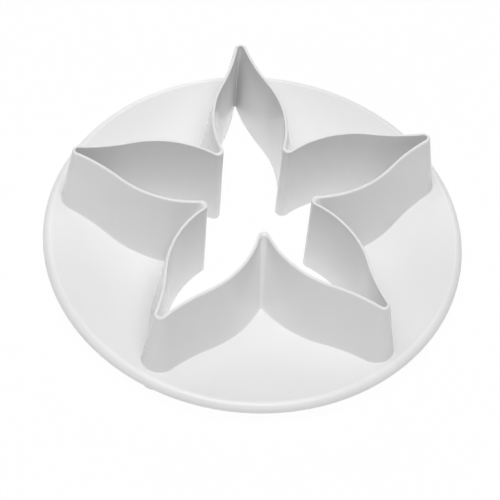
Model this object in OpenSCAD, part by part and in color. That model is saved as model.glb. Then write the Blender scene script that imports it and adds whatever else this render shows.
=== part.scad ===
// Calyx cutter: a five-petal cutting wall that stands on a round, dished hand flange.
// The star is open all the way through. It is drawn cutting edge up, resting on its underside,
// with the origin at the middle of the resting face and one petal pointing along +Y.

/* [Petals] */
// Reach of a petal tip from the centre, to the middle of the cutting edge
tip_reach = 42.6; // [41:0.1:44]
// Width of a petal at its widest place, to the middle of the cutting edge
petal_w = 16.55; // [15:0.05:18]
// Distance of that widest place from the centre
belly_at = 19.1; // [18:0.1:21]
// Radius of the bellied part of a petal's side
belly_r = 24.2; // [21:0.1:27]
// Angle between the two sides of a petal where they run into its tip
tip_angle = 27; // [21:0.5:32]
// Radius of the rounded tip, to the middle of the cutting edge
tip_round = 1; // [0.9:0.05:2]
// Radius of the rounded valley between two petals, to the middle of the cutting edge
valley_round = 1.1; // [1:0.05:2]

/* [Wall] */
// Height of the cutting edge above the resting face
cutter_h = 23.3; // [20:0.1:28]
// Thickness of the wall at the cutting edge
edge_t = 0.5; // [0.3:0.05:0.8]
// Height of the strip that carries the cutting edge
edge_h = 1.2; // [0.8:0.1:3]
// Width of the bevel along the outside of the cutting edge
bevel_w = 0.15; // [0.05:0.05:0.4]
// Height of that bevel
bevel_h = 0.2; // [0.1:0.05:0.5]
// Draft of the wall's outer face
outer_draft = 8; // [6:0.1:8.6]
// Draft of the wall's inner face
inner_draft = 0.6; // [0.2:0.05:1]
// Radius of the outside crease between two petals, at the foot of the wall
crease_r = 0.5; // [0.3:0.05:0.8]
// Radius of the inside crease in a petal's tip, at the foot of the wall
tip_crease = 0.15; // [0.1:0.05:0.7]

/* [Flange] */
// Width of the flange between the foot of a petal's tip and the outside of the rim
flange_margin = 2.45; // [2.2:0.05:8]
// Thickness of the flange
flange_t = 3.25; // [2.8:0.05:4]
// Radius of the hollow to which the flange's upper face is dished
dish_r = 340; // [260:5:420]
// Height of the middle of that hollow above the resting face
dish_z = 3.2; // [2.4:0.05:3.4]

/* [Smoothness] */
// Straight steps along the bellied part of a petal's side
belly_steps = 9; // [6:1:14]
// Straight steps along the hollow part of a petal's side
hollow_steps = 4; // [3:1:8]
// Straight steps round half a petal tip
tip_steps = 4; // [3:1:8]
// Straight steps round half a valley
valley_steps = 4; // [3:1:8]
// Straight steps round the half circle of the rim
rim_steps = 14; // [8:1:20]
// Greatest height of a band of facets up the outer face
band_h = 4; // [2.5:0.5:5]

/* [Hidden] */
moulding = "whitesmoke";
petals = 5;
half_sector = 180 / petals;
round_fn = 720;
overcut = 1;

// Half a petal is drawn pointing along +X: a belly arc, a hollow arc that takes over from it
// where the two are tangent, and the arc of the tip.
tip_normal = 90 - tip_angle / 2;
belly_c = [belly_at, petal_w / 2 - belly_r];
tip_c = [tip_reach - tip_round, 0];
tip_joint = tip_c + tip_round * heading(tip_normal);
to_joint = tip_joint - belly_c;
hollow_r = (to_joint * to_joint - belly_r * belly_r) / (2 * (belly_r - to_joint * heading(tip_normal)));
hollow_c = tip_joint + hollow_r * heading(tip_normal);
turn_normal = bearing(hollow_c - belly_c);

// The strip with the cutting edge starts here. The outer face has its draft from the bevel down
// to the bottom of the dish, below which it goes straight down.
edge_z = cutter_h - edge_h;
bevel_z = cutter_h - bevel_h;
wall_bands = ceil((edge_z - dish_z) / band_h);
draft_levels = [for (i = [0:wall_bands]) dish_z + (edge_z - dish_z) * i / wall_bands];
wall_levels = concat([0], draft_levels);
plug_levels = concat([-overcut], draft_levels);

// The flange is a plate of even thickness between two spheres with one centre.
// Its rim is rounded about the middle of the plate.
dish_c = [0, dish_z + dish_r];
mid_r = dish_r + flange_t / 2;
flange_reach = tip_reach + outer_grow(dish_z) + flange_margin;
rim_angle = asin((flange_reach - flange_t / 2) / mid_r);
rim_c = dish_c + mid_r * heading(rim_angle - 90);

function heading(a) = [cos(a), sin(a)];
function bearing(v) = atan2(v.y, v.x);
function turned(p, a) = [p.x * cos(a) - p.y * sin(a), p.x * sin(a) + p.y * cos(a)];
function arc(c, r, a, b, steps) =
    let (n = ceil(steps))
    [for (i = [0:n]) c + r * heading(a + (b - a) * i / n)];
function without_first(list) = [for (i = [1:len(list) - 1]) list[i]];

// Centre of the fillet of radius r that fills the valley between two bellies grown by grow
function valley_c(grow, r) =
    let (along = belly_c * heading(half_sector), reach = belly_r + grow + r)
    (along + sqrt(along * along - belly_c * belly_c + reach * reach)) * heading(half_sector);

// Centre of the arc of radius r that rounds a tip between two hollows grown by grow
function rounding_c(grow, r) =
    let (reach = hollow_r - grow + r)
    [hollow_c.x - sqrt(reach * reach - hollow_c.y * hollow_c.y), 0];

// Side of a petal from the valley to the tip, grown outwards by grow, with a valley of radius r
// and a tip of radius t
function petal_side(grow, r, t) =
    let (
        fillet = valley_c(grow, r),
        meet = bearing(fillet - belly_c),
        rounding = rounding_c(grow, t),
        leave = bearing(hollow_c - rounding)
    )
    concat(
        arc(fillet, -r, half_sector, meet, valley_steps),
        without_first(arc(belly_c, belly_r + grow, meet, turn_normal, belly_steps)),
        without_first(arc(hollow_c, grow - hollow_r, turn_normal, leave, hollow_steps)),
        without_first(arc(rounding, t, leave, 0, tip_steps))
    );

// Whole outline, anticlockwise: each petal runs from its right valley round its tip to its left
// valley, and leaves that last point to the next petal
function star(grow, r, t) =
    let (side = petal_side(grow, r, t), n = len(side))
    [
        for (k = [0:petals - 1])
            let (a = 90 + k * 2 * half_sector)
            for (i = [0:2 * n - 3])
                turned(i < n ? [side[i].x, -side[i].y] : side[2 * n - 2 - i], a)
    ];

// How far the two faces lie from the middle of the cutting edge, at height z
function outer_grow(z) =
    edge_t / 2 + bevel_w * min(1, (cutter_h - z) / bevel_h) + (cutter_h - max(z, dish_z)) * tan(outer_draft);
function inner_grow(z) = -edge_t / 2 - (cutter_h - z) * tan(inner_draft);

// The outside crease tightens from the rounded valley at the edge to crease_r at the foot
function crease(z) =
    let (down = (cutter_h - max(z, dish_z)) / (cutter_h - dish_z))
    valley_round - edge_t / 2 + (crease_r - valley_round + edge_t / 2) * down;

// The inside crease in a tip tightens in the same way from the rounded tip at the edge
function tip_inside(z) =
    let (at_edge = tip_round - edge_t / 2)
    at_edge + (tip_crease - at_edge) * (cutter_h - z) / cutter_h;

function raised(outline, z) = [for (p = outline) [p.x, p.y, z]];
function outer_ring(z) =
    let (grow = outer_grow(z))
    raised(star(grow, crease(z), tip_round + grow), z);
function inner_ring(z) =
    let (grow = inner_grow(z))
    raised(star(grow, valley_round - grow, tip_inside(z)), z);

// Facets between ring number a and ring number b, each of n points, seen from outside
function band(a, b, n) = [
    for (i = [0:n - 1])
        let (j = (i + 1) % n)
        each [[b * n + i, b * n + j, a * n + j], [b * n + i, a * n + j, a * n + i]]
];

// Solid inside the outer face, through the given levels
module outer_solid(levels) {
    rings = [for (z = levels) outer_ring(z)];
    n = len(rings[0]);
    top = len(levels) - 1;
    sides = [for (i = [0:top - 1]) each band(i, i + 1, n)];
    floor_face = [for (i = [0:n - 1]) i];
    roof_face = [for (i = [n - 1:-1:0]) top * n + i];
    polyhedron(points = [for (ring = rings) each ring], faces = concat(sides, [floor_face, roof_face]));
}

// Wall between the outer and the inner face, through the given levels
module wall_ring(levels) {
    top = len(levels) - 1;
    rings = concat(
        [for (z = levels) outer_ring(z)],
        [inner_ring(levels[top]), inner_ring(levels[0])]
    );
    n = len(rings[0]);
    count = len(rings);
    skin = [for (i = [0:count - 1]) each band(i, (i + 1) % count, n)];
    polyhedron(points = [for (ring = rings) each ring], faces = skin);
}

// Everything of a section that lies nearer the axis than the line on which the rim starts
module inside_rim() {
    reach = 2 * mid_r;
    polygon([dish_c, dish_c + reach * heading(rim_angle - 90), dish_c - [0, reach]]);
}

module plate_section() {
    intersection() {
        translate(dish_c)
            difference() {
                circle(r = dish_r + flange_t, $fn = round_fn);
                circle(r = dish_r, $fn = round_fn);
            }
        inside_rim();
        square([flange_reach, cutter_h]);
    }
}

module rim_section() {
    polygon(arc(rim_c, flange_t / 2, rim_angle - 90, rim_angle + 90, rim_steps));
}

// Dished plate for the palm, cut out to the foot of the wall and cut flat at the resting face
module hand_flange() {
    color(moulding)
        difference() {
            rotate_extrude($fn = round_fn)
                plate_section();
            outer_solid(plug_levels);
        }
}

// Rounded edge all round the plate
module flange_rim() {
    color(moulding)
        rotate_extrude($fn = round_fn)
            rim_section();
}

// Drafted wall of the star, from the resting face up to the strip with the cutting edge
module calyx_wall() {
    color(moulding)
        wall_ring(wall_levels);
}

// Thin strip along the top of the wall, with the narrow flat land that cuts and its bevel
module cutting_edge() {
    color(moulding)
        wall_ring([edge_z, bevel_z, cutter_h]);
}

hand_flange();
flange_rim();
calyx_wall();
cutting_edge();
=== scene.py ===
import math
import bmesh
import bpy
import numpy as np
from mathutils import Matrix, Vector


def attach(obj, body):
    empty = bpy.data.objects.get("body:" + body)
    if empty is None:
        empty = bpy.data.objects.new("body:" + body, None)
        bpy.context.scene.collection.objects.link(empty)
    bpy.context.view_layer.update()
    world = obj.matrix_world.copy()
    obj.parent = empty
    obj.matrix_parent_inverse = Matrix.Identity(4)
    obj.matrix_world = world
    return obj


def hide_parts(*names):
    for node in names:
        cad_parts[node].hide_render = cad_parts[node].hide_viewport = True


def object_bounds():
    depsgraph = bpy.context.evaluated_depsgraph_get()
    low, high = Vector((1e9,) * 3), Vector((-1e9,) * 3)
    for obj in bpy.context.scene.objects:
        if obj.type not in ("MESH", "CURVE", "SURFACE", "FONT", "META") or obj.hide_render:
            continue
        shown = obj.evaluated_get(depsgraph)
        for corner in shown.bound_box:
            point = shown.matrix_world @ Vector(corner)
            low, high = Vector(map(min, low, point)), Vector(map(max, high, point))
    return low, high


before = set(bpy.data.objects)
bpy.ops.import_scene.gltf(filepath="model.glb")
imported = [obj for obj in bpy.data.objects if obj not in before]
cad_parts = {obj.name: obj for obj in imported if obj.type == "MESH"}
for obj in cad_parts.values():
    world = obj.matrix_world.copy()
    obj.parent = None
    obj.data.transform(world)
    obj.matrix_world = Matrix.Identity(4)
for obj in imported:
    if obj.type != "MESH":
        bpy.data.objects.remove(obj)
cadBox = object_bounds()
print("frame loaded with", len(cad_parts), "nodes")

# Calyx cutter at rest, cutting edge up, one petal pointing away from the camera. Lengths in metres.
mm = 0.001
weldDistance = 1e-7

# The star that the wall, its edge and the hole in the flange share. Half a petal is a
# belly arc, a hollow arc that takes over where the two are tangent, and the arc of the tip.
starShape = {
    "petals": 5,
    "tipReach": 42.6 * mm,
    "petalWidth": 16.55 * mm,
    "bellyAt": 19.1 * mm,
    "bellyRadius": 24.2 * mm,
    "tipAngle": math.radians(27),
    "tipRound": 1.0 * mm,
    "tipCrease": 0.15 * mm,
    "tipTightening": 3,  # 1 would tighten the inside crease evenly from edge to foot
    "valleyRound": 1.1 * mm,
    "creaseRound": 0.5 * mm,
    "height": 23.3 * mm,
    "edgeHeight": 1.2 * mm,
    "edgeThickness": 0.5 * mm,
    "bevelWidth": 0.15 * mm,
    "bevelHeight": 0.4 * mm,
    "outerDraft": math.radians(8),
    "innerDraft": math.radians(0.6),
    "dishBottom": 3.2 * mm,
    "dishRadius": 340.0 * mm,
    "bellySteps": 30,
    "hollowSteps": 22,
    "tipSteps": 12,
    "valleySteps": 10,
    "faceLevels": 13,
    "footPasses": 8,
}


def heading(angle):
    return np.array([math.cos(angle), math.sin(angle)])


# Angles are bearings of the outward normal, so an arc that bends the other way has a radius below 0
def arcPoints(centre, radius, start, end, steps):
    return [centre + radius * heading(start + (end - start) * i / steps) for i in range(steps + 1)]


def bearing(vector):
    return math.atan2(vector[1], vector[0])


halfSector = math.pi / starShape["petals"]
tipNormal = math.pi / 2 - starShape["tipAngle"] / 2
bellyCentre = np.array([starShape["bellyAt"], starShape["petalWidth"] / 2 - starShape["bellyRadius"]])
tipCentre = np.array([starShape["tipReach"] - starShape["tipRound"], 0.0])
tipJoint = tipCentre + starShape["tipRound"] * heading(tipNormal)
toJoint = tipJoint - bellyCentre
hollowRadius = (toJoint @ toJoint - starShape["bellyRadius"] ** 2) / (
    2 * (starShape["bellyRadius"] - toJoint @ heading(tipNormal))
)
hollowCentre = tipJoint + hollowRadius * heading(tipNormal)
turnNormal = bearing(hollowCentre - bellyCentre)


# Centre of the arc that fills the valley between two bellies grown by grow
def valleyCentre(grow, radius):
    along = bellyCentre @ heading(halfSector)
    reach = starShape["bellyRadius"] + grow + radius
    out = along + math.sqrt(along ** 2 - bellyCentre @ bellyCentre + reach ** 2)
    return out * heading(halfSector)


# Centre of the arc that rounds a tip between two hollows grown by grow
def roundingCentre(grow, radius):
    reach = hollowRadius - grow + radius
    return np.array([hollowCentre[0] - math.sqrt(reach ** 2 - hollowCentre[1] ** 2), 0.0])


# From the valley to the tip, grown outwards by grow
def petalSide(grow, valleyRadius, tipRadius):
    fillet = valleyCentre(grow, valleyRadius)
    meet = bearing(fillet - bellyCentre)
    rounding = roundingCentre(grow, tipRadius)
    leave = bearing(hollowCentre - rounding)
    belly = starShape["bellyRadius"] + grow
    hollow = grow - hollowRadius
    side = arcPoints(fillet, -valleyRadius, halfSector, meet, starShape["valleySteps"])
    side += arcPoints(bellyCentre, belly, meet, turnNormal, starShape["bellySteps"])[1:]
    side += arcPoints(hollowCentre, hollow, turnNormal, leave, starShape["hollowSteps"])[1:]
    side += arcPoints(rounding, tipRadius, leave, 0.0, starShape["tipSteps"])[1:]
    return side


# All the way round, anticlockwise, with the same number of points whatever grow is
def starOutline(grow, valleyRadius, tipRadius):
    side = petalSide(grow, valleyRadius, tipRadius)
    petal = [np.array([p[0], -p[1]]) for p in side] + side[-2:0:-1]
    outline = []
    for k in range(starShape["petals"]):
        angle = math.pi / 2 + 2 * k * halfSector
        across, up = heading(angle), heading(angle + math.pi / 2)
        outline += [p[0] * across + p[1] * up for p in petal]
    return np.array(outline)


# The bevel along the edge is eased into the drafted face. Below the dish the face goes straight down.
def outerOutline(z):
    drop = starShape["height"] - max(z, starShape["dishBottom"])
    down = drop / (starShape["height"] - starShape["dishBottom"])
    above = max(0.0, 1 - drop / starShape["bevelHeight"])
    bevel = starShape["bevelWidth"] * (1 - above ** 2)
    grow = starShape["edgeThickness"] / 2 + bevel + drop * math.tan(starShape["outerDraft"])
    wide = starShape["valleyRound"] - starShape["edgeThickness"] / 2
    return starOutline(grow, wide + (starShape["creaseRound"] - wide) * down, starShape["tipRound"] + grow)


# The inside crease in a petal's tip does most of its tightening just below the edge
def innerOutline(z):
    drop = starShape["height"] - z
    inset = starShape["edgeThickness"] / 2 + drop * math.tan(starShape["innerDraft"])
    wide = starShape["tipRound"] - starShape["edgeThickness"] / 2
    down = 1 - (1 - drop / starShape["height"]) ** starShape["tipTightening"]
    tight = wide + (starShape["tipCrease"] - wide) * down
    return starOutline(-inset, starShape["valleyRound"] + inset, tight)


# Outward direction of an outline at each of its points
def outlineNormals(outline):
    along = np.roll(outline, -1, axis=0) - np.roll(outline, 1, axis=0)
    along /= np.linalg.norm(along, axis=1)[:, None]
    return np.stack([along[:, 1], -along[:, 0]], axis=1)


# Where each point needs a height of its own, the outer face is read between rings at a few levels
edgeStart = starShape["height"] - starShape["edgeHeight"]
outerLevels = np.linspace(starShape["dishBottom"], edgeStart, starShape["faceLevels"])
outerRings = np.array([outerOutline(z) for z in outerLevels])


def outerAt(heights):
    spacing = outerLevels[1] - outerLevels[0]
    place = (np.clip(heights, outerLevels[0], outerLevels[-1]) - outerLevels[0]) / spacing
    low = np.minimum(place.astype(int), len(outerLevels) - 2)
    share = (place - low)[:, None]
    station = np.arange(len(heights))
    return outerRings[low, station] * (1 - share) + outerRings[low + 1, station] * share


def dishHeight(radii, thickness=0.0):
    radius = starShape["dishRadius"] + thickness
    return starShape["dishBottom"] + starShape["dishRadius"] - np.sqrt(radius ** 2 - radii ** 2)


# The foot of the outer face lies on the dish, and each pass brings it closer
stations = outerRings.shape[1]
footHeight = np.full(stations, starShape["dishBottom"])
for attempt in range(starShape["footPasses"]):
    footHeight = dishHeight(np.linalg.norm(outerAt(footHeight), axis=1))
footOutline = outerAt(footHeight)
footRadii = np.linalg.norm(footOutline, axis=1)
bottomOutline = outerOutline(0.0)
print("star outline ready,", stations, "points round it")


def raised(outline, z):
    return np.column_stack([outline, np.broadcast_to(z, len(outline))])


# A closed skin through rings of points, the last ring joined to the first
def skinRings(name, rings, sharpAngle):
    mesh = bpy.data.meshes.new(name)
    count = len(rings[0])
    points = np.concatenate(rings)
    faces = []
    for a in range(len(rings)):
        b = (a + 1) % len(rings)
        for i in range(count):
            j = (i + 1) % count
            faces.append((a * count + i, a * count + j, b * count + j, b * count + i))
    mesh.from_pydata(points.tolist(), [], faces)
    work = bmesh.new()
    work.from_mesh(mesh)
    bmesh.ops.remove_doubles(work, verts=work.verts, dist=weldDistance)
    bmesh.ops.recalc_face_normals(work, faces=work.faces)
    work.to_mesh(mesh)
    work.free()
    mesh.shade_smooth()
    mesh.set_sharp_from_angle(angle=sharpAngle)
    piece = bpy.data.objects.new(name, mesh)
    bpy.context.scene.collection.objects.link(piece)
    return piece


valueSocket = "NodeSocketFloat"
colourSocket = "NodeSocketColor"
# A Mix node's sockets go by number, because their names repeat for each kind of value
mixColour = {"first": 6, "second": 7, "result": 2}
mixValue = {"first": 2, "second": 3, "result": 0}


# An empty shader node group with its sockets in place, and its two ends
def startGroup(name, takes, gives):
    group = bpy.data.node_groups.new(name, "ShaderNodeTree")
    for socket, kind in takes.items():
        group.interface.new_socket(socket, in_out="INPUT", socket_type=kind)
    for socket, kind in gives.items():
        group.interface.new_socket(socket, in_out="OUTPUT", socket_type=kind)
    return group, group.nodes.new("NodeGroupInput"), group.nodes.new("NodeGroupOutput")


driftNoise = {"detail": 3.0, "low": 0.3, "high": 0.7}


# Slow drift of the resin's tone through a moulding
def buildResinDrift(noise):
    takes = {"size": valueSocket, "dark": colourSocket, "light": colourSocket}
    group, ends, out = startGroup("resinDrift", takes, {"tone": colourSocket})
    nodes, links = group.nodes, group.links
    place = nodes.new("ShaderNodeTexCoord")
    cloud = nodes.new("ShaderNodeTexNoise")
    cloud.inputs["Detail"].default_value = noise["detail"]
    spread = nodes.new("ShaderNodeMapRange")
    spread.inputs["From Min"].default_value = noise["low"]
    spread.inputs["From Max"].default_value = noise["high"]
    mix = nodes.new("ShaderNodeMix")
    mix.data_type = "RGBA"
    links.new(place.outputs["Object"], cloud.inputs["Vector"])
    links.new(ends.outputs["size"], cloud.inputs["Scale"])
    links.new(cloud.outputs["Fac"], spread.inputs["Value"])
    links.new(spread.outputs["Result"], mix.inputs["Factor"])
    links.new(ends.outputs["dark"], mix.inputs[mixColour["first"]])
    links.new(ends.outputs["light"], mix.inputs[mixColour["second"]])
    links.new(mix.outputs[mixColour["result"]], out.inputs["tone"])
    return group


grainNoise = {"fineDetail": 4.0, "broadScale": 140.0, "broadDetail": 2.0, "low": 0.2, "high": 0.8}


# Fine grain that the mould leaves, as a height for bump, and broad patches of roughness
def buildMouldGrain(noise):
    takes = {"size": valueSocket, "smooth": valueSocket, "rough": valueSocket}
    group, ends, out = startGroup("mouldGrain", takes, {"height": valueSocket, "roughness": valueSocket})
    nodes, links = group.nodes, group.links
    place = nodes.new("ShaderNodeTexCoord")
    fine = nodes.new("ShaderNodeTexNoise")
    fine.inputs["Detail"].default_value = noise["fineDetail"]
    broad = nodes.new("ShaderNodeTexNoise")
    broad.inputs["Scale"].default_value = noise["broadScale"]
    broad.inputs["Detail"].default_value = noise["broadDetail"]
    spread = nodes.new("ShaderNodeMapRange")
    spread.inputs["From Min"].default_value = noise["low"]
    spread.inputs["From Max"].default_value = noise["high"]
    links.new(place.outputs["Object"], fine.inputs["Vector"])
    links.new(place.outputs["Object"], broad.inputs["Vector"])
    links.new(ends.outputs["size"], fine.inputs["Scale"])
    links.new(fine.outputs["Fac"], out.inputs["height"])
    links.new(broad.outputs["Fac"], spread.inputs["Value"])
    links.new(ends.outputs["smooth"], spread.inputs["To Min"])
    links.new(ends.outputs["rough"], spread.inputs["To Max"])
    links.new(spread.outputs["Result"], out.inputs["roughness"])
    return group


rubNoise = {"scale": 300.0, "detail": 3.0, "low": 0.3, "high": 0.6, "least": 0.5}


# Where use has rubbed a piece: everything above a height, in patches
def buildEdgeRub(noise):
    takes = {"start": valueSocket, "full": valueSocket}
    group, ends, out = startGroup("edgeRub", takes, {"mask": valueSocket})
    nodes, links = group.nodes, group.links
    place = nodes.new("ShaderNodeTexCoord")
    split = nodes.new("ShaderNodeSeparateXYZ")
    climb = nodes.new("ShaderNodeMapRange")
    patches = nodes.new("ShaderNodeTexNoise")
    patches.inputs["Scale"].default_value = noise["scale"]
    patches.inputs["Detail"].default_value = noise["detail"]
    uneven = nodes.new("ShaderNodeMapRange")
    uneven.inputs["From Min"].default_value = noise["low"]
    uneven.inputs["From Max"].default_value = noise["high"]
    uneven.inputs["To Min"].default_value = noise["least"]
    both = nodes.new("ShaderNodeMath")
    both.operation = "MULTIPLY"
    links.new(place.outputs["Object"], split.inputs["Vector"])
    links.new(split.outputs["Z"], climb.inputs["Value"])
    links.new(ends.outputs["start"], climb.inputs["From Min"])
    links.new(ends.outputs["full"], climb.inputs["From Max"])
    links.new(place.outputs["Object"], patches.inputs["Vector"])
    links.new(patches.outputs["Fac"], uneven.inputs["Value"])
    links.new(climb.outputs["Result"], both.inputs[0])
    links.new(uneven.outputs["Result"], both.inputs[1])
    links.new(both.outputs["Value"], out.inputs["mask"])
    return group


# Painted shade: the tone darkens up a wall towards its top, standing in for shade that the lamps leave too
# faint there.
# The tone is multiplied by one minus the depth times the climb.
def buildPaintedTopShade():
    takes = {"tone": colourSocket, "shadeStart": valueSocket, "shadeFull": valueSocket, "shadeDepth": valueSocket}
    group, ends, out = startGroup("paintedTopShade", takes, {"tone": colourSocket})
    nodes, links = group.nodes, group.links
    place = nodes.new("ShaderNodeTexCoord")
    split = nodes.new("ShaderNodeSeparateXYZ")
    climb = nodes.new("ShaderNodeMapRange")
    keep = nodes.new("ShaderNodeMath")
    keep.operation = "MULTIPLY_ADD"
    keep.inputs[2].default_value = 1.0
    negativeShade = nodes.new("ShaderNodeMath")
    negativeShade.operation = "MULTIPLY"
    negativeShade.inputs[1].default_value = -1.0
    shaded = nodes.new("ShaderNodeVectorMath")
    shaded.operation = "SCALE"
    links.new(place.outputs["Object"], split.inputs["Vector"])
    links.new(split.outputs["Z"], climb.inputs["Value"])
    links.new(ends.outputs["shadeStart"], climb.inputs["From Min"])
    links.new(ends.outputs["shadeFull"], climb.inputs["From Max"])
    links.new(ends.outputs["shadeDepth"], negativeShade.inputs[0])
    links.new(climb.outputs["Result"], keep.inputs[0])
    links.new(negativeShade.outputs["Value"], keep.inputs[1])
    links.new(ends.outputs["tone"], shaded.inputs["Vector"])
    links.new(keep.outputs["Value"], shaded.inputs["Scale"])
    links.new(shaded.outputs["Vector"], out.inputs["tone"])
    return group


resinDrift = buildResinDrift(driftNoise)
mouldGrain = buildMouldGrain(grainNoise)
edgeRub = buildEdgeRub(rubNoise)
paintedTopShade = buildPaintedTopShade()
plasticIor = 1.49
print("shared effects built")


def whitePlastic(name, look):
    material = bpy.data.materials.new(name)
    material.use_nodes = True
    nodes, links = material.node_tree.nodes, material.node_tree.links
    shader = nodes["Principled BSDF"]
    shader.inputs["IOR"].default_value = plasticIor
    drift = nodes.new("ShaderNodeGroup")
    drift.node_tree = resinDrift
    drift.inputs["size"].default_value = look["driftSize"]
    drift.inputs["dark"].default_value = (*look["dark"], 1.0)
    drift.inputs["light"].default_value = (*look["light"], 1.0)
    grain = nodes.new("ShaderNodeGroup")
    grain.node_tree = mouldGrain
    grain.inputs["size"].default_value = look["grainSize"]
    grain.inputs["smooth"].default_value = look["smooth"]
    grain.inputs["rough"].default_value = look["rough"]
    bump = nodes.new("ShaderNodeBump")
    bump.inputs["Strength"].default_value = look["bump"]
    bump.inputs["Distance"].default_value = look["grainDepth"]
    links.new(drift.outputs["tone"], shader.inputs["Base Color"])
    links.new(grain.outputs["roughness"], shader.inputs["Roughness"])
    links.new(grain.outputs["height"], bump.inputs["Height"])
    links.new(bump.outputs["Normal"], shader.inputs["Normal"])
    return material


# Painted shade: darkens a piece's colour up the wall towards its top
def addPaintedTopShade(material, look):
    nodes, links = material.node_tree.nodes, material.node_tree.links
    shader = nodes["Principled BSDF"]
    topShade = nodes.new("ShaderNodeGroup")
    topShade.node_tree = paintedTopShade
    topShade.inputs["shadeStart"].default_value = look["shadeStartAt"]
    topShade.inputs["shadeFull"].default_value = look["shadeFullAt"]
    topShade.inputs["shadeDepth"].default_value = look["topShadeDepth"]
    links.new(shader.inputs["Base Color"].links[0].from_socket, topShade.inputs["tone"])
    links.new(topShade.outputs["tone"], shader.inputs["Base Color"])


# Rub lightens and polishes what it reaches
def addRub(material, look):
    nodes, links = material.node_tree.nodes, material.node_tree.links
    shader = nodes["Principled BSDF"]
    rub = nodes.new("ShaderNodeGroup")
    rub.node_tree = edgeRub
    rub.inputs["start"].default_value = look["rubStart"]
    rub.inputs["full"].default_value = look["rubFull"]
    tone = nodes.new("ShaderNodeMix")
    tone.data_type = "RGBA"
    tone.inputs[mixColour["second"]].default_value = (*look["rubTone"], 1.0)
    gloss = nodes.new("ShaderNodeMix")
    gloss.inputs[mixValue["second"]].default_value = look["rubRoughness"]
    plainTone = shader.inputs["Base Color"].links[0].from_socket
    plainGloss = shader.inputs["Roughness"].links[0].from_socket
    links.new(rub.outputs["mask"], tone.inputs["Factor"])
    links.new(rub.outputs["mask"], gloss.inputs["Factor"])
    links.new(plainTone, tone.inputs[mixColour["first"]])
    links.new(plainGloss, gloss.inputs[mixValue["first"]])
    links.new(tone.outputs[mixColour["result"]], shader.inputs["Base Color"])
    links.new(gloss.outputs[mixValue["result"]], shader.inputs["Roughness"])


def finishPiece(piece, node, material):
    piece.data.materials.append(material)
    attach(piece, "root")
    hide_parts(node)


wallLook = {
    "dark": (0.92, 0.92, 0.92),
    "light": (0.94, 0.94, 0.94),
    "driftSize": 30.0,
    "smooth": 0.15,
    "rough": 0.2,
    "grainSize": 2200.0,
    "grainDepth": 0.04 * mm,
    "bump": 0.6,
    # painted shade, darker up the wall towards its top
    "shadeStartAt": 3.0 * mm,
    "shadeFullAt": 23.0 * mm,
    "topShadeDepth": 0.055,
    "faceSteps": 12,
    "footFillet": 0.25 * mm,
    "filletSteps": 6,
    "tuck": 0.02 * mm,
    "kneeShare": 0.9,  # of the dish's lowest height, where the face turns straight down
    "innerFootRound": 0.3 * mm,
    "roundSteps": 5,
    "sharpAngle": math.radians(30),
}


# Down the outer face, through the fillet on the dish, under the foot and up the inner face
def buildWall(look):
    fillet = look["footFillet"]
    outward = outlineNormals(footOutline)
    # Unit vectors in the plane across the wall: out along the dish, and up the drafted face
    rise = np.sum(footOutline * outward, axis=1) / np.sqrt(starShape["dishRadius"] ** 2 - footRadii ** 2)
    alongDish = np.column_stack([np.ones(stations), rise]) / np.sqrt(1 + rise ** 2)[:, None]
    upWall = np.array([-math.sin(starShape["outerDraft"]), math.cos(starShape["outerDraft"])])
    between = np.arccos(alongDish @ upWall)
    reach = fillet / np.tan(between / 2)
    middle = alongDish + upWall
    middle /= np.linalg.norm(middle, axis=1)[:, None]
    centre = middle * (fillet / np.sin(between / 2))[:, None]
    start = reach[:, None] * upWall - centre
    finish = reach[:, None] * alongDish - centre

    def across(offset):
        flat = footOutline + outward * offset[:, :1]
        return np.column_stack([flat, footHeight + offset[:, 1]])

    rings = []
    filletTop = footHeight + reach * math.cos(starShape["outerDraft"])
    for i in range(look["faceSteps"]):
        heights = edgeStart + (filletTop - edgeStart) * i / look["faceSteps"]
        rings.append(np.column_stack([outerAt(heights), heights]))
    startAngle = np.arctan2(start[:, 1], start[:, 0])
    turn = np.arctan2(finish[:, 1], finish[:, 0]) - startAngle
    turn = (turn + math.pi) % (2 * math.pi) - math.pi
    for i in range(look["filletSteps"] + 1):
        angle = startAngle + turn * i / look["filletSteps"]
        rings.append(across(centre + fillet * np.column_stack([np.cos(angle), np.sin(angle)])))
    rings.append(np.column_stack([footOutline, footHeight - look["tuck"]]))
    rings.append(raised(bottomOutline, starShape["dishBottom"] * look["kneeShare"]))
    rings.append(raised(bottomOutline, 0.0))
    turnRound = look["innerFootRound"]
    for i in range(look["roundSteps"], -1, -1):
        angle = math.pi / 2 * i / look["roundSteps"]
        z = turnRound * (1 - math.sin(angle))
        inset = turnRound * (1 - math.cos(angle))
        inner = innerOutline(z)
        rings.append(raised(inner + outlineNormals(inner) * inset, z))
    for i in range(1, look["faceSteps"] + 1):
        z = turnRound + (edgeStart - turnRound) * i / look["faceSteps"]
        rings.append(raised(innerOutline(z), z))
    return skinRings("calyxWall", rings, look["sharpAngle"])


calyxWall = buildWall(wallLook)
wallPlastic = whitePlastic("wallPlastic", wallLook)
addPaintedTopShade(wallPlastic, wallLook)
finishPiece(calyxWall, "calyx_wall", wallPlastic)
print("wall built")

edgeLook = {
    "dark": wallLook["dark"],
    "light": wallLook["light"],
    "driftSize": wallLook["driftSize"],
    "smooth": 0.19,
    "rough": 0.24,
    "grainSize": 2200.0,
    "grainDepth": 0.02 * mm,
    "bump": 0.4,
    # painted shade, as on the wall
    "shadeStartAt": wallLook["shadeStartAt"],
    "shadeFullAt": wallLook["shadeFullAt"],
    "topShadeDepth": wallLook["topShadeDepth"],
    "rubStart": 23.05 * mm,
    "rubFull": 23.25 * mm,
    "rubTone": (0.94, 0.94, 0.94),
    "rubRoughness": 0.14,
    "bevelSteps": 6,
    "cornerRound": 0.1 * mm,
    "cornerSteps": 4,
    "sharpAngle": math.radians(30),
}


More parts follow.
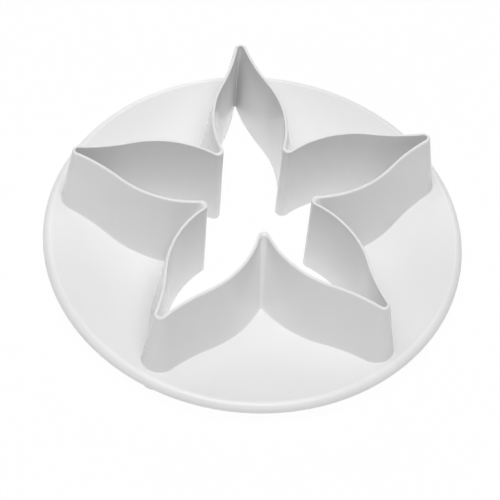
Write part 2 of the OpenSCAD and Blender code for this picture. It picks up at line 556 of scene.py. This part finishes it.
# Up the outer face and the bevel, over the two rounded corners of the land, and down inside
def buildEdge(look):
    turnRound = look["cornerRound"]
    top = starShape["height"]
    rings = []
    bevelStart = top - starShape["bevelHeight"]
    rings.append(raised(outerOutline(edgeStart), edgeStart))
    for i in range(look["bevelSteps"]):
        z = bevelStart + (top - turnRound - bevelStart) * i / look["bevelSteps"]
        rings.append(raised(outerOutline(z), z))
    for i in range(look["cornerSteps"] + 1):
        angle = math.pi / 2 * i / look["cornerSteps"]
        z = top - turnRound * (1 - math.sin(angle))
        outline = outerOutline(z)
        rings.append(raised(outline - outlineNormals(outline) * turnRound * (1 - math.cos(angle)), z))
    for i in range(look["cornerSteps"], -1, -1):
        angle = math.pi / 2 * i / look["cornerSteps"]
        z = top - turnRound * (1 - math.sin(angle))
        outline = innerOutline(z)
        rings.append(raised(outline + outlineNormals(outline) * turnRound * (1 - math.cos(angle)), z))
    rings.append(raised(innerOutline(edgeStart), edgeStart))
    return skinRings("cuttingEdge", rings, look["sharpAngle"])


cuttingEdge = buildEdge(edgeLook)
edgePlastic = whitePlastic("edgePlastic", edgeLook)
addPaintedTopShade(edgePlastic, edgeLook)
addRub(edgePlastic, edgeLook)
finishPiece(cuttingEdge, "cutting_edge", edgePlastic)
print("cutting edge built")

flangeLook = {
    "dark": (0.885, 0.885, 0.885),
    "light": (0.905, 0.905, 0.905),
    "driftSize": 40.0,
    "smooth": 0.21,
    "rough": 0.26,
    "grainSize": 1800.0,
    "grainDepth": 0.04 * mm,
    "bump": 0.6,
    "margin": 2.45 * mm,
    "thickness": 3.25 * mm,
    "topSteps": 22,
    "underSteps": 22,
    "sharpAngle": math.radians(3),
}
# Painted light: the rim's resin is given a lighter tone than the flange's, for light from below and from
# the left that the lamps don't give
rimLook = {
    "dark": (0.93, 0.93, 0.93),
    "light": (0.95, 0.95, 0.95),
    "driftSize": 40.0,
    "smooth": 0.29,
    "rough": 0.33,
    "grainSize": 2200.0,
    "grainDepth": 0.02 * mm,
    "bump": 0.15,
    "steps": 26,
    "sharpAngle": math.radians(30),
}
# The rim is rounded about the middle of the plate and stays inside the box of the solids
midRadius = starShape["dishRadius"] + flangeLook["thickness"] / 2
footReach = np.linalg.norm(bottomOutline, axis=1).max()
flangeReach = min(footReach + flangeLook["margin"], -cadBox[0][0], cadBox[1][0])
rimAngle = math.asin((flangeReach - flangeLook["thickness"] / 2) / midRadius)
spokes = footOutline / footRadii[:, None]


# Out over the dish, back under the plate to where it is cut flat, and in to the wall
def buildFlange(look):
    rings = []
    outer = starShape["dishRadius"] * math.sin(rimAngle)
    for i in range(look["topSteps"] + 1):
        radii = footRadii + (outer - footRadii) * i / look["topSteps"]
        rings.append(np.column_stack([spokes * radii[:, None], dishHeight(radii)]))
    under = starShape["dishRadius"] + look["thickness"]
    outer = under * math.sin(rimAngle)
    # Nearer the axis than this the underside would pass the resting face, and is cut flat
    flat = math.sqrt(under ** 2 - (starShape["dishBottom"] + starShape["dishRadius"]) ** 2)
    inner = np.linalg.norm(bottomOutline, axis=1)
    spokesUnder = bottomOutline / inner[:, None]
    start = np.maximum(inner, flat)
    for i in range(look["underSteps"] + 1):
        radii = outer + (start - outer) * i / look["underSteps"]
        share = i / look["underSteps"]
        spoke = spokes * (1 - share) + spokesUnder * share
        spoke /= np.linalg.norm(spoke, axis=1)[:, None]
        heights = np.maximum(dishHeight(radii, look["thickness"]), 0.0)
        rings.append(np.column_stack([spoke * radii[:, None], heights]))
    heights = np.maximum(dishHeight(inner, look["thickness"]), 0.0)
    rings.append(np.column_stack([bottomOutline, heights]))
    return skinRings("handFlange", rings, look["sharpAngle"])


def buildRim(look):
    lowest = np.array([0.0, starShape["dishBottom"] + starShape["dishRadius"]])
    centre = midRadius * heading(rimAngle - math.pi / 2) + lowest
    start, end = rimAngle - math.pi / 2, rimAngle + math.pi / 2
    section = arcPoints(centre, flangeLook["thickness"] / 2, start, end, look["steps"])
    rings = [np.column_stack([spokes * p[0], np.full(stations, p[1])]) for p in section]
    return skinRings("flangeRim", rings, look["sharpAngle"])


handFlange = buildFlange(flangeLook)
finishPiece(handFlange, "hand_flange", whitePlastic("flangePlastic", flangeLook))
flangeRim = buildRim(rimLook)
finishPiece(flangeRim, "flange_rim", whitePlastic("rimPlasticPaintedLight", rimLook))
print("flange and rim built")

floorLook = {
    "radius": 3.0,
    "tone": (0.85, 0.85, 0.85),
    "glow": 0.97,
    "underglow": 0.12,
    "segments": 96,
}


# Mask of what the camera and reflections see
def addSeenMask(nodes, links):
    rays = nodes.new("ShaderNodeLightPath")
    seen = nodes.new("ShaderNodeMath")
    seen.operation = "MAXIMUM"
    links.new(rays.outputs["Is Camera Ray"], seen.inputs[0])
    links.new(rays.outputs["Is Glossy Ray"], seen.inputs[1])
    return seen.outputs["Value"]


# A plain pale floor. The camera and reflections see mostly its glow, so that it reads white
# and keeps a faint shadow. What it lights gets the underglow.
def buildFloor(look):
    mesh = bpy.data.meshes.new("floor")
    work = bmesh.new()
    bmesh.ops.create_circle(work, cap_ends=True, segments=look["segments"], radius=look["radius"])
    work.to_mesh(mesh)
    work.free()
    floor = bpy.data.objects.new("floor", mesh)
    bpy.context.scene.collection.objects.link(floor)
    material = bpy.data.materials.new("paleFloor")
    material.use_nodes = True
    nodes, links = material.node_tree.nodes, material.node_tree.links
    nodes.clear()
    paper = nodes.new("ShaderNodeBsdfDiffuse")
    paper.inputs["Color"].default_value = (*look["tone"], 1.0)
    glow = nodes.new("ShaderNodeEmission")
    underglow = nodes.new("ShaderNodeEmission")
    underglow.inputs["Strength"].default_value = look["underglow"]
    lit = nodes.new("ShaderNodeAddShader")
    share = nodes.new("ShaderNodeMath")
    share.operation = "MULTIPLY"
    share.inputs[1].default_value = look["glow"]
    mix = nodes.new("ShaderNodeMixShader")
    out = nodes.new("ShaderNodeOutputMaterial")
    links.new(addSeenMask(nodes, links), share.inputs[0])
    links.new(share.outputs["Value"], mix.inputs["Fac"])
    links.new(paper.outputs["BSDF"], lit.inputs[0])
    links.new(underglow.outputs["Emission"], lit.inputs[1])
    links.new(lit.outputs["Shader"], mix.inputs[1])
    links.new(glow.outputs["Emission"], mix.inputs[2])
    links.new(mix.outputs["Shader"], out.inputs["Surface"])
    mesh.materials.append(material)


buildFloor(floorLook)

# Angles in degrees, azimuth 0 in front and 90 to the right. Powers in watts.
studioLight = {
    "dome": 0.08,
    "distance": 1.2,
    "boxSize": 0.6,
    "softboxes": {
        "frontKey": {"azimuth": 0, "elevation": 75, "power": 5.9},
        "leftTop": {"azimuth": 270, "elevation": 75, "power": 2.7},
        "rightTop": {"azimuth": 90, "elevation": 75, "power": 1.9},
        "frontLow": {"azimuth": 0, "elevation": 20, "power": 1.0},
        "leftLow": {"azimuth": 270, "elevation": 20, "power": 0.7},
        "backLow": {"azimuth": 180, "elevation": 20, "power": 3.0},
    },
}


# The camera and reflections see a white room, and everything else gets light from a dim dome
def buildDome(strength):
    world = bpy.data.worlds.new("studioDome")
    bpy.context.scene.world = world
    world.use_nodes = True
    nodes, links = world.node_tree.nodes, world.node_tree.links
    nodes.clear()
    room = nodes.new("ShaderNodeBackground")
    room.inputs["Strength"].default_value = strength
    white = nodes.new("ShaderNodeBackground")
    mix = nodes.new("ShaderNodeMixShader")
    out = nodes.new("ShaderNodeOutputWorld")
    links.new(addSeenMask(nodes, links), mix.inputs["Fac"])
    links.new(room.outputs["Background"], mix.inputs[1])
    links.new(white.outputs["Background"], mix.inputs[2])
    links.new(mix.outputs["Shader"], out.inputs["Surface"])


# Unit vector from the middle of the scene, for a lamp or the camera
def directionTo(azimuth, elevation):
    return Vector((
        math.sin(azimuth) * math.cos(elevation),
        -math.cos(azimuth) * math.cos(elevation),
        math.sin(elevation),
    ))


def addSoftbox(name, box, light):
    away = directionTo(math.radians(box["azimuth"]), math.radians(box["elevation"]))
    data = bpy.data.lights.new(name, "AREA")
    data.shape = "SQUARE"
    data.size = light["boxSize"]
    data.energy = box["power"]
    lamp = bpy.data.objects.new(name, data)
    lamp.location = away * light["distance"]
    lamp.rotation_euler = away.to_track_quat("Z", "Y").to_euler()
    bpy.context.scene.collection.objects.link(lamp)


buildDome(studioLight["dome"])
for boxName, box in studioLight["softboxes"].items():
    addSoftbox(boxName, box, studioLight)
print("floor and light ready")

# Aimed at the middle of the star, at the height of its edge, which slide and lift then move
# to the right and up in the picture
cameraView = {
    "azimuth": math.radians(-9.874),
    "elevation": math.radians(52.65),
    "roll": math.radians(5.574),
    "distance": 618.1 * mm,
    "slide": 1.79 * mm,
    "lift": 13.98 * mm,
    "sensor": 36.0,
    "focalPixels": 2748.8,
    "pictureWidth": 500,
}


def buildCamera(view):
    back = directionTo(view["azimuth"], view["elevation"])
    levelRight = (-back).cross(Vector((0, 0, 1))).normalized()
    levelUp = levelRight.cross(-back)
    right = math.cos(view["roll"]) * levelRight + math.sin(view["roll"]) * levelUp
    up = math.cos(view["roll"]) * levelUp - math.sin(view["roll"]) * levelRight
    target = Vector((0, 0, starShape["height"]))
    place = target + back * view["distance"] - right * view["slide"] - up * view["lift"]
    data = bpy.data.cameras.new("camera")
    data.sensor_width = view["sensor"]
    data.lens = view["sensor"] * view["focalPixels"] / view["pictureWidth"]
    camera = bpy.data.objects.new("camera", data)
    camera.matrix_world = Matrix.Translation(place) @ Matrix((right, up, back)).transposed().to_4x4()
    bpy.context.scene.collection.objects.link(camera)
    bpy.context.scene.camera = camera


buildCamera(cameraView)
bpy.context.scene.view_settings.view_transform = "Standard"
print("camera placed")
